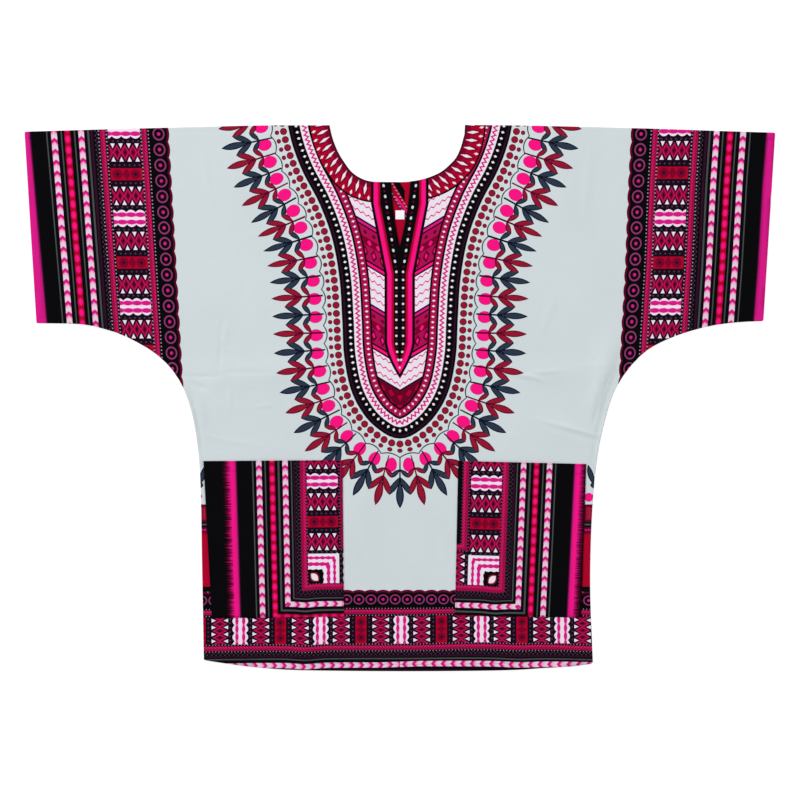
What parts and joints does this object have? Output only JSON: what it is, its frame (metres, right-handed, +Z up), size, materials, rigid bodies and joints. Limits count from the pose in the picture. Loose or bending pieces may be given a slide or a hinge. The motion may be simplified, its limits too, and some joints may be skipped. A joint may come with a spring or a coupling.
{
  "type": "dashiki shirt, laid flat",
  "caption": "Loose pullover shirt of printed cotton with sleeves cut in one with the body, a round neck slit down the front, and patch pockets, laid flat.",
  "frame": {"origin": "on the surface the shirt lies on, under the middle of its outline", "axes": "+X across the shirt from one cuff to the other, +Y from hem to neck, +Z up off the surface, out of the front"},
  "size_m": [1.1176, 0.8135, 0.0054],
  "materials": {
    "front_cloth": "plain-woven printed cotton, matt, with the printed side out",
    "back_cloth": "the same plain-woven printed cotton, matt",
    "pocket_cloth": "striped border of the same printed cotton, matt",
    "label_tape": "satin-woven white tape, blank"
  },
  "bodies": {
    "root": {"back": "back_cloth", "front": "front_cloth", "pocket_left": "pocket_cloth", "pocket_right": "pocket_cloth", "neck_label": "label_tape"}
  },
  "joints": []
}
